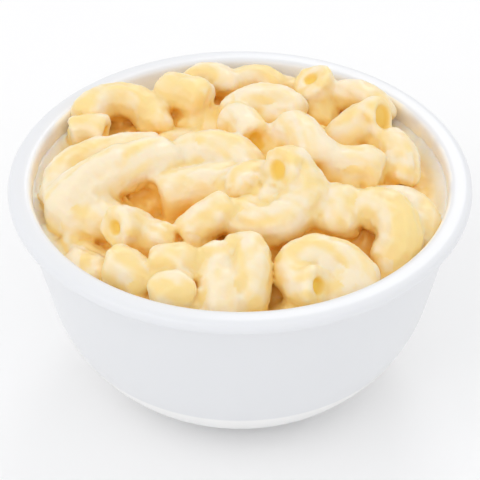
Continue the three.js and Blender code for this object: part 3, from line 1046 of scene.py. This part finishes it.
# %% The mark for the inner face's painted light
INNER_FADE = 5.0
below_rim = np.clip((BOWL_HEIGHT - bowl_height) / INNER_FADE, 0, 1)
inside = np.where(bowl_radius < wall_radius(bowl_height) - WALL / 2, below_rim, 0)
inside[bowl_height < FLOOR_THICKNESS / 2] = 0
for name, values in (("smear_and_painted_light", smear_and_painted_light), ("inside", inside)):
    layer = bowl.data.attributes.new(name, "FLOAT", "POINT")
    layer.data.foreach_set("value", values.astype(np.float32))
print(f"the mark is on {(inside > 0.1).sum()} of the bowl's points")

# %% [markdown]
# ## The macaroni itself
#
# Cooked elbow macaroni is a bent hollow tube. Each one is a ring of points that travels along
# the middle line, turns in at the end and comes back as the wall of the hole, so it is a real
# tube with a real hole. It lies about a coat's thickness under the sauce, which covers nearly
# all of it. The sauce alone would look much the same, but the food is built the way it is made:
# pasta first and sauce over it, so that either can be changed or taken off.

# %% The stretch of an elbow that is pasta
COAT = 0.7
OPEN_END_COVER = 1.0


def even_stations(line, spacing):
    run = np.concatenate([[0], np.cumsum(np.linalg.norm(np.diff(line, axis=0), axis=1))])
    count = max(6, round(run[-1] / spacing))
    places = np.linspace(0, run[-1], count + 1)
    return np.stack([np.interp(places, run, line[:, k]) for k in range(3)], axis=1), places


def shortened(elbow):
    """The middle line without the ends that the sauce has covered."""
    line = middle_line(elbow)
    run = np.concatenate([[0], np.cumsum(np.linalg.norm(np.diff(line, axis=0), axis=1))])
    covered = elbow.round_end * 0.7 + 0.5
    first = OPEN_END_COVER if elbow.open_end == "first" else covered
    last = run[-1] - (OPEN_END_COVER if elbow.open_end == "last" else covered)
    places = np.linspace(first, last, 40)
    return np.stack([np.interp(places, run, line[:, k]) for k in range(3)], axis=1)


# %% Directions across a line
def frames_along(points):
    """Two directions across the line at each point, carried along without twisting."""
    tangent = np.gradient(points, axis=0)
    tangent /= np.linalg.norm(tangent, axis=1)[:, None]
    start = np.cross(tangent[0], (0, 0, 1) if abs(tangent[0][2]) < 0.9 else (1, 0, 0))
    across = [start / np.linalg.norm(start)]
    for t in tangent[1:]:
        step = across[-1] - t * (across[-1] @ t)
        across.append(step / np.linalg.norm(step))
    across = np.array(across)
    return across, np.cross(tangent, across)


# %% Rings along a line
PASTA_SIDES = 22
STATION = 1.4
PASTA_ROUNDING = 0.9
HOLE_LEDGE = 0.1


def tube_rings(elbow):
    """Rings of points: out along the tube's skin and back along its hole."""
    points, places = even_stations(shortened(elbow), STATION)
    across, up = frames_along(points)
    length = places[-1]
    skin = elbow.tube[0] + (elbow.tube[1] - elbow.tube[0]) * places / length - COAT
    from_end = np.clip(np.minimum(places, length - places) / PASTA_ROUNDING, 0, 1)
    skin = skin - PASTA_ROUNDING * (1 - np.sqrt(1 - (1 - from_end) ** 2))
    radii = np.concatenate([skin, np.full(len(points), elbow.hole - HOLE_LEDGE)])
    order = np.concatenate([np.arange(len(points)), np.arange(len(points))[::-1]])
    angle = np.arange(PASTA_SIDES)[:, None] * 2 * pi / PASTA_SIDES
    ring = across[order, None] * np.cos(angle) + up[order, None] * np.sin(angle)
    return points[order, None] + ring * radii[:, None, None]


pasta_points, pasta_faces = [], []
for elbow in elbows:
    rings = tube_rings(elbow)
    first = sum(map(len, pasta_points))
    pasta_faces.append(grid_faces(len(rings), PASTA_SIDES, True, True, first))
    pasta_points.append(rings.reshape(-1, 3))
pasta_points = np.vstack(pasta_points)
pasta_faces = np.vstack(pasta_faces)
print("pasta:", len(pasta_points), "points")

# %% Cooked pasta
PASTA_DARK = (1.0, 0.64, 0.13)
PASTA_LIGHT = (1.0, 0.68, 0.18)
noodle, shader = new_material(
    "cooked_pasta", Roughness=0.33, Subsurface_Weight=0.5, Coat_Weight=0.2, Coat_Roughness=0.15
)
shader.inputs["Subsurface Radius"].default_value = (1.0, 0.7, 0.3)
shader.inputs["Subsurface Scale"].default_value = 3 * MM
colour = mix_colours(noodle, noise(noodle, 6), PASTA_DARK, PASTA_LIGHT, "mottle")
noodle.node_tree.links.new(colour, shader.inputs["Base Color"])
bumps(noodle, shader, noise(noodle, 1.2, 2), 0.04)
print("the pasta's finish has", len(noodle.node_tree.nodes), "nodes")

# %% Keeping the pasta inside the bowl
inside_bowl = np.hypot(pasta_points[:, 0], pasta_points[:, 1])
limit = wall_radius(np.minimum(pasta_points[:, 2], LIP_START_HEIGHT)) - WALL
pasta_points[:, :2] *= np.minimum(1, limit / inside_bowl)[:, None]
make_piece("macaroni_elbows", pasta_points, pasta_faces, "macaroni", noodle)

# %% [markdown]
# ## The core of the heap
#
# Below the elbows that can be seen, the bowl is full. More elbows could be piled in, but no eye
# reaches them. A plain turned body fills the bowl from the floor up into the sauce instead, so
# that the food is not a hollow skin.

# %% Filling the bowl
CORE_GAP = 0.4
CORE_TOP = 49.0
CORE_SIDES = 64
x, y, radius = belly()
core_floor = FLOOR_THICKNESS + CORE_GAP
core_radius = radius - WALL - CORE_GAP
core_arc = arc((x, y), core_radius, -asin((y - core_floor) / core_radius), -DRAFT, 20)
core_edge = (wall_radius(CORE_TOP) - WALL - CORE_GAP, CORE_TOP)
core_outline = np.vstack([[(0, core_floor)], core_arc, [core_edge, (0, CORE_TOP)]])
core_points = turn(core_outline, CORE_SIDES).reshape(-1, 3)
core_faces = grid_faces(len(core_outline), CORE_SIDES, wrap_columns=True)
make_piece("macaroni_core", core_points, core_faces, "macaroni", cheese)

# %% [markdown]
# ## Floor, light and camera
#
# The bowl stands on a plain pale floor under soft studio light: a large panel above the front
# left, a weaker one above the front right, a small one behind that lights the back of the heap,
# and a bright surround. One panel alone would leave hard shadows, and the surround alone no
# form. The camera looks down at the bowl by about 39 degrees with a long lens, which keeps the
# bowl's shape free of stretch.

# %% Floor
def plane(name, size, place, material):
    half = size / 2
    corners = [(-half, -half, 0), (half, -half, 0), (half, half, 0), (-half, half, 0)]
    mesh = bpy.data.meshes.new(name)
    mesh.from_pydata(corners, [], [(0, 1, 2, 3)])
    mesh.materials.append(material)
    item = bpy.data.objects.new(name, mesh)
    item.location = place
    scene.collection.objects.link(item)
    return item


FLOOR_SIZE = 6.0
BELOW_FOOT = 0.0002
PAPER_DARK = (0.93, 0.93, 0.935)
PAPER_LIGHT = (0.945, 0.945, 0.95)
paper, shader = new_material("pale_floor", Roughness=0.8)
colour = mix_colours(paper, noise(paper, 40), PAPER_DARK, PAPER_LIGHT)
paper.node_tree.links.new(colour, shader.inputs["Base Color"])
plane("floor", FLOOR_SIZE, (0, 0, -BELOW_FOOT), paper)
print(f"the floor is {FLOOR_SIZE:.0f} m wide")


# %% Lights
LIGHT_AIM = (0, 0, 0.05)
SURROUND = 0.87


def panel(name, place, size, watts):
    """A square soft light that faces the bowl."""
    light = bpy.data.lights.new(name, "AREA")
    light.size = size
    light.energy = watts
    item = bpy.data.objects.new(name, light)
    item.location = place
    ahead = np.array(LIGHT_AIM) - np.array(place)
    yaw = np.arctan2(ahead[0], -ahead[1])
    item.rotation_euler = (np.arctan2(hypot(ahead[0], ahead[1]), -ahead[2]), 0, pi + yaw)
    scene.collection.objects.link(item)
    print(f"{name} light: {watts} W, {size} m wide")


panel("key", place=(-0.6, -0.5, 0.85), size=0.8, watts=1.85)
panel("fill", place=(0.4, -0.65, 0.9), size=0.8, watts=0.8)
panel("rear", place=(0.15, 0.8, 0.75), size=0.35, watts=1.2)

# %% The bright surround
world = bpy.data.worlds.new("studio")
world.use_nodes = True
world.node_tree.nodes["Background"].inputs["Color"].default_value = (1, 1, 1, 1)
world.node_tree.nodes["Background"].inputs["Strength"].default_value = SURROUND
scene.world = world
scene.view_settings.view_transform = "Standard"
print("surround strength:", SURROUND)

# %% Camera
ELEVATION = radians(38.93)
DISTANCE = 422.8 * MM
AIM = (0, 0, 37.9 * MM)
FOCAL_PIXELS = 1570
IMAGE_PIXELS = 480
LOWER_BY_PIXELS = 7.6
SENSOR = 36
lens = bpy.data.cameras.new("camera")
lens.sensor_width = SENSOR
lens.lens = SENSOR * FOCAL_PIXELS / IMAGE_PIXELS
lens.shift_y = LOWER_BY_PIXELS / IMAGE_PIXELS
lens.clip_start = 0.01
camera = bpy.data.objects.new("camera", lens)
camera.location = (0, -DISTANCE * cos(ELEVATION), AIM[2] + DISTANCE * sin(ELEVATION))
camera.rotation_euler = (pi / 2 - ELEVATION, 0, 0)
scene.collection.objects.link(camera)
scene.camera = camera
print(f"lens {lens.lens:.1f} mm")
